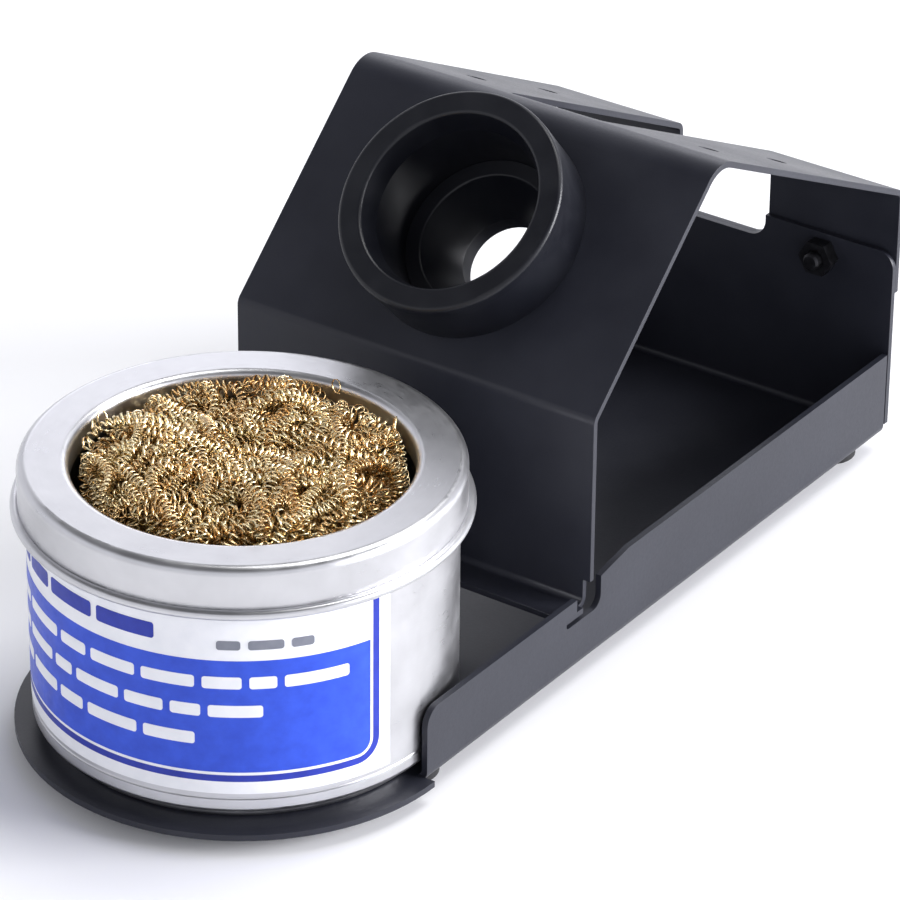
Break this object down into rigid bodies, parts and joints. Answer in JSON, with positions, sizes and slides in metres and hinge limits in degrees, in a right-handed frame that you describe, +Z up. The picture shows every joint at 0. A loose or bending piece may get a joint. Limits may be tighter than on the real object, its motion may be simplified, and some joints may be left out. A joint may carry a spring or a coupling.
{
  "type": "soldering iron station",
  "caption": "Folded steel bench stand with an angled funnel for a soldering iron and a round tin of brass wool on its tray.",
  "frame": {"origin": "centre of the footprint, on the table top under the feet", "axes": "+X to the right as seen from the tin's end, +Y from the tin to the rear wall, +Z up"},
  "size_m": [0.0698, 0.1698, 0.0803],
  "materials": {
    "powder_coat": "satin near-black powder coat",
    "foot_rubber": "matt black rubber",
    "black_steel": "black oxide",
    "collar_black": "satin moulded black",
    "sleeve_black": "satin black",
    "tinplate": "satin tinplate",
    "label_print": "printed film, white with a blue panel",
    "cup_aluminium": "plain",
    "rosin": "amber",
    "brass_curls": "bright turned curls"
  },
  "bodies": {
    "stand": {"base_tray": "powder_coat", "bridge": "powder_coat", "foot_front_left": "foot_rubber", "foot_front_right": "foot_rubber", "foot_rear_left": "foot_rubber", "foot_rear_right": "foot_rubber", "rear_screw_left": "black_steel", "rear_screw_right": "black_steel", "rear_nut_left": "black_steel", "rear_nut_right": "black_steel", "funnel_collar": "collar_black", "funnel_sleeve": "sleeve_black", "funnel_lock_ring": "collar_black"},
    "tin": {"tin_body": "tinplate", "tin_label": "label_print", "flux_cup": "cup_aluminium", "rosin_flux": "rosin"},
    "lid": {"tin_lid": "tinplate"},
    "wool": {"brass_wool": "brass_curls"}
  },
  "joints": [
    {"name": "tin_lift", "type": "slide", "parent": "stand", "child": "tin", "axis": [0, 0, 1], "range_m": [0, 0.06]},
    {"name": "lid_lift", "type": "slide", "parent": "tin", "child": "lid", "axis": [0, 0, 1], "range_m": [0, 0.025]},
    {"name": "wool_lift", "type": "slide", "parent": "tin", "child": "wool", "axis": [0, 0, 1], "range_m": [0, 0.045]}
  ]
}
